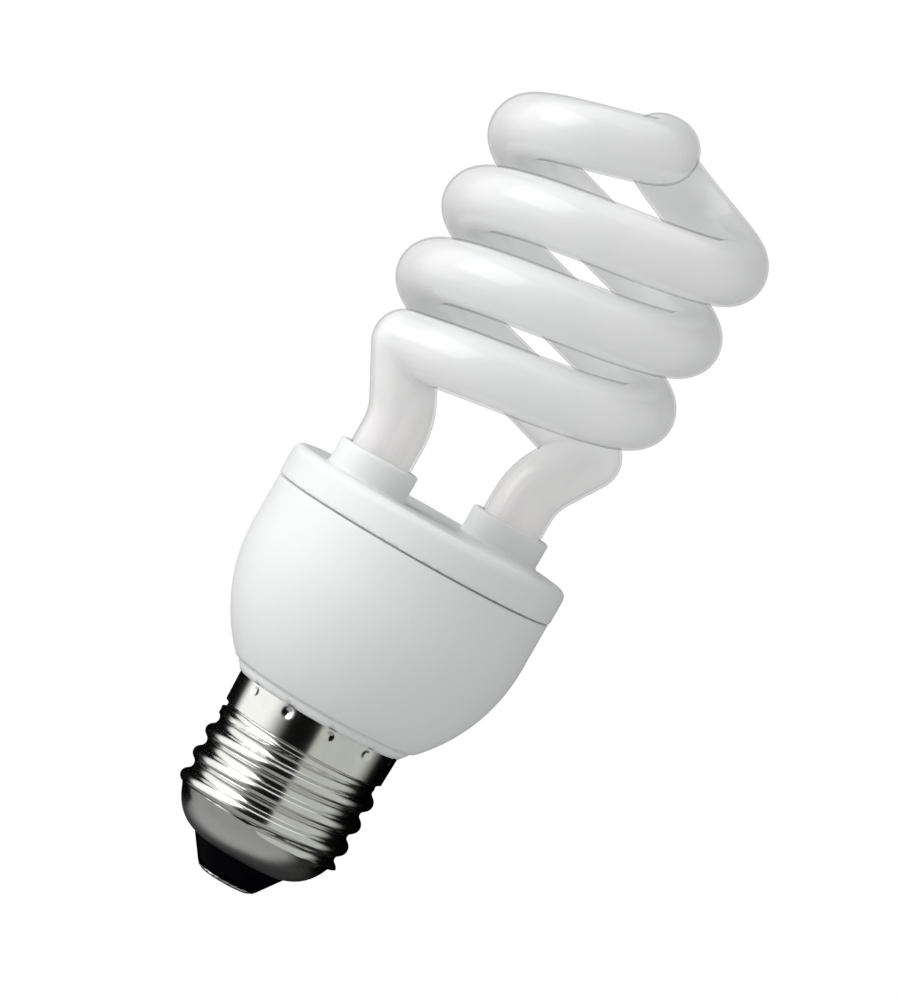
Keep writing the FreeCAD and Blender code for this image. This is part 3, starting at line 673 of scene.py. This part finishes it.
def add_camera():
    """The camera: it looks a little beside the lamp's middle and is rolled."""
    rise = math.radians(VIEW_RISE)
    back = Vector((0, -math.cos(rise), math.sin(rise)))
    place = VIEW_CENTRE + VIEW_DISTANCE * back
    across = (-back).cross(Vector((0, 0, 1))).normalized()
    up = across.cross(-back)
    aim = VIEW_CENTRE + VIEW_AIM[0] * across + VIEW_AIM[1] * up
    forward = (aim - place).normalized()
    across = forward.cross(Vector((0, 0, 1))).normalized()
    up = across.cross(forward)
    roll = math.radians(VIEW_ROLL)
    right = math.cos(roll) * across + math.sin(roll) * up
    top = math.cos(roll) * up - math.sin(roll) * across
    bpy.ops.object.camera_add()
    camera = bpy.context.view_layer.objects.active
    turn = Matrix((right, top, -forward)).transposed()
    camera.matrix_world = Matrix.Translation(place) @ turn.to_4x4()
    camera.data.sensor_fit = "VERTICAL"
    camera.data.sensor_height = SENSOR_HEIGHT
    camera.data.lens = VIEW_FOCUS / IMAGE_HEIGHT * SENSOR_HEIGHT
    camera.data.clip_start = 0.01
    camera.data.clip_end = 50
    bpy.context.scene.camera = camera


def add_lamp(name, power, azimuth, rise, distance, size, glossy=False):
    """A square soft light that faces the lamp's middle; azimuth is from the camera, to its right."""
    angle = math.radians(azimuth)
    level = math.radians(rise)
    out = Vector((math.sin(angle) * math.cos(level), -math.cos(angle) * math.cos(level), math.sin(level)))
    place = VIEW_CENTRE + out * distance
    turn = out.to_track_quat("Z", "Y").to_euler()
    bpy.ops.object.light_add(type="AREA", location=place, rotation=turn)
    lamp = bpy.context.view_layer.objects.active
    lamp.name = name
    lamp.data.shape = "SQUARE"
    lamp.data.size = size
    lamp.data.energy = power
    lamp.visible_glossy = glossy


def background_rays(finish):
    """1 for rays that look straight, or through glass or by a mirror, at what lies behind."""
    rays = finish.node("ShaderNodeLightPath")
    straight = rays.beside("Is Camera Ray")
    mirrored = finish.math("MAXIMUM", straight, rays.beside("Is Glossy Ray"))
    return finish.math("MAXIMUM", mirrored, rays.beside("Is Transmission Ray"))


def set_world(level):
    """Even light from all round, with plain white behind the lamp."""
    world = bpy.data.worlds.new("studio")
    world.use_nodes = True
    bpy.context.scene.world = world
    finish = Finish("studio", world.node_tree)
    soft = finish.node("ShaderNodeBackground", {}, {"Color": grey(1), "Strength": level})
    white = finish.node("ShaderNodeBackground", {}, {"Color": grey(1), "Strength": 1.0})
    shader = finish.node("ShaderNodeMixShader", {}, {0: background_rays(finish), 1: soft, 2: white})
    finish.node("ShaderNodeOutputWorld", {}, {"Surface": shader})


# Sizes of the set in metres
FLOOR_RADIUS = 6
FLOOR_FADES = (1.3, 2.6)
SET_RADIUS = 1.6
SET_HEIGHT = 5.2
CLOTH_GAP = 0.01
SET_SIDES = 96


def floor_finish():
    """Pale floor that fades into the white background away from the lamp."""
    finish = Finish("pale_floor")
    place = finish.node("ShaderNodeTexCoord", output="Object")
    distance = finish.node("ShaderNodeVectorMath", {"operation": "LENGTH"}, {0: place}, "Value")
    far = distance.ramp(*FLOOR_FADES)
    speck = finish.noise(0.2, 2.0)
    paper = finish.principled(
        Base_Color=finish.blend(speck, grey(0.86), grey(0.9)), Roughness=0.85, Specular_IOR_Level=0.2)
    white = finish.node("ShaderNodeEmission", {}, {"Color": grey(1), "Strength": 1.0})
    factor = far * background_rays(finish)
    return finish.surface(finish.node("ShaderNodeMixShader", {}, {0: factor, 1: paper, 2: white}))


# Arcs of the set that metal and glass reflect, each as its rise and its fall in degrees
WHITE_BOARD = ((-122, -104), (-62, -25))
WHITE_COLOUR = (1, 1, 0.985)
WHITE_LEVEL = 1.05
DIM_BOARD = ((9, 14), (84, 114))
DIM_COLOUR = (1.0, 1.03, 0.95)
DIM_LEVEL = 0.52
CLOTH_FRONT = ((-160, -110), (62, 100))
CLOTH_LEVEL = 0.32
CLOTH_BACK_LEVEL = 0.02


def set_azimuth(finish):
    """A point's azimuth round the set, from the camera's side to its right, in degrees."""
    place = finish.node("ShaderNodeTexCoord", output="Object")
    across = finish.node("ShaderNodeSeparateXYZ", {}, {0: place}, "X")
    return finish.math("ARCTAN2", across, 0 - across.beside("Y")) * math.degrees(1)


def arc(angle, rise, fall):
    """1 from the end of a rise to the start of a fall, in degrees, and 0 outside them."""
    return angle.ramp(*rise) * (1 - angle.ramp(*fall))


def ring_finish():
    """Black cloth and white boards round the set, seen only in reflections."""
    finish = Finish("set_boards")
    angle = set_azimuth(finish)
    white = arc(angle, *WHITE_BOARD)
    dim = arc(angle, *DIM_BOARD)
    colour = finish.blend(white, grey(0), shade(WHITE_COLOUR, WHITE_LEVEL))
    colour = finish.blend(dim, colour, shade(DIM_COLOUR, DIM_LEVEL))
    return finish.surface(finish.node("ShaderNodeEmission", {}, {"Color": colour, "Strength": 1.0}))


def cloth_finish():
    """Grey cloth on the table, dark at its back, seen only in reflections."""
    finish = Finish("table_cloth")
    front = arc(set_azimuth(finish), *CLOTH_FRONT)
    weave = finish.noise(0.02, 2.0)
    pale = finish.blend(weave, grey(0.92 * CLOTH_LEVEL), grey(CLOTH_LEVEL))
    colour = finish.blend(front, grey(CLOTH_BACK_LEVEL), pale)
    return finish.surface(finish.node("ShaderNodeEmission", {}, {"Color": colour, "Strength": 1.0}))


class LAMP_OT_stage(bpy.types.Operator):
    """Camera, lamps, floor and the boards that the metal reflects"""
    bl_idname = "lamp.stage"
    bl_label = "Stage"

    def execute(self, context):
        values = context.scene.lamp_stage
        deselect()
        bpy.ops.mesh.primitive_circle_add(
            vertices=SET_SIDES, radius=FLOOR_RADIUS, fill_type="NGON", location=(0, 0, -values.floor_drop))
        floor = context.view_layer.objects.active
        floor.name = "floor"
        floor.data.materials.append(floor_finish())
        bpy.ops.mesh.primitive_cylinder_add(
            vertices=SET_SIDES, radius=SET_RADIUS, depth=SET_HEIGHT, end_fill_type="NOTHING")
        ring = context.view_layer.objects.active
        ring.name = "set_boards"
        ring.data.materials.append(ring_finish())
        cloth_place = (0, 0, CLOTH_GAP - values.floor_drop)
        bpy.ops.mesh.primitive_circle_add(
            vertices=SET_SIDES, radius=SET_RADIUS, fill_type="NGON", location=cloth_place)
        cloth = context.view_layer.objects.active
        cloth.name = "table_cloth"
        cloth.data.materials.append(cloth_finish())
        for piece in (ring, cloth):
            for ray in ("camera", "diffuse", "transmission", "shadow", "volume_scatter"):
                setattr(piece, "visible_" + ray, False)
        add_lamp("key", values.key_strength, azimuth=-61, rise=23, distance=0.9, size=0.75, glossy=True)
        add_lamp("fill", values.fill_strength, azimuth=-112, rise=8, distance=1.2, size=0.9)
        add_lamp("top", values.top_strength, azimuth=0, rise=84, distance=0.9, size=0.9)
        set_world(values.world_level)
        add_camera()
        context.scene.view_settings.view_transform = "Standard"
        return {"FINISHED"}


class LAMP_PT_panel(bpy.types.Panel):
    """Lists the lamp's values and steps"""
    bl_label = "Spiral Lamp"
    bl_space_type = "VIEW_3D"
    bl_region_type = "UI"
    bl_category = "Spiral Lamp"

    def draw(self, context):
        for group in GROUPS:
            values = getattr(context.scene, group)
            for name in values.__annotations__:
                self.layout.prop(values, name)
        for step in STEPS:
            self.layout.operator(step.bl_idname)


STEPS = (LAMP_OT_tube, LAMP_OT_housing, LAMP_OT_cap, LAMP_OT_inside, LAMP_OT_stage)
GROUPS = {"lamp_tube": LampTubeValues, "lamp_body": LampBodyValues, "lamp_stage": LampStageValues}


def register():
    for kind in (*GROUPS.values(), *STEPS, LAMP_PT_panel):
        bpy.utils.register_class(kind)
    for name, group in GROUPS.items():
        setattr(bpy.types.Scene, name, bpy.props.PointerProperty(type=group))


def unregister():
    for name in GROUPS:
        delattr(bpy.types.Scene, name)
    for kind in reversed((*GROUPS.values(), *STEPS, LAMP_PT_panel)):
        bpy.utils.unregister_class(kind)


def main():
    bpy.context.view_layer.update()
    register()
    bpy.ops.lamp.tube()
    bpy.ops.lamp.housing()
    bpy.ops.lamp.cap()
    bpy.ops.lamp.inside()
    bpy.ops.lamp.stage()


if __name__ == "__main__":
    main()
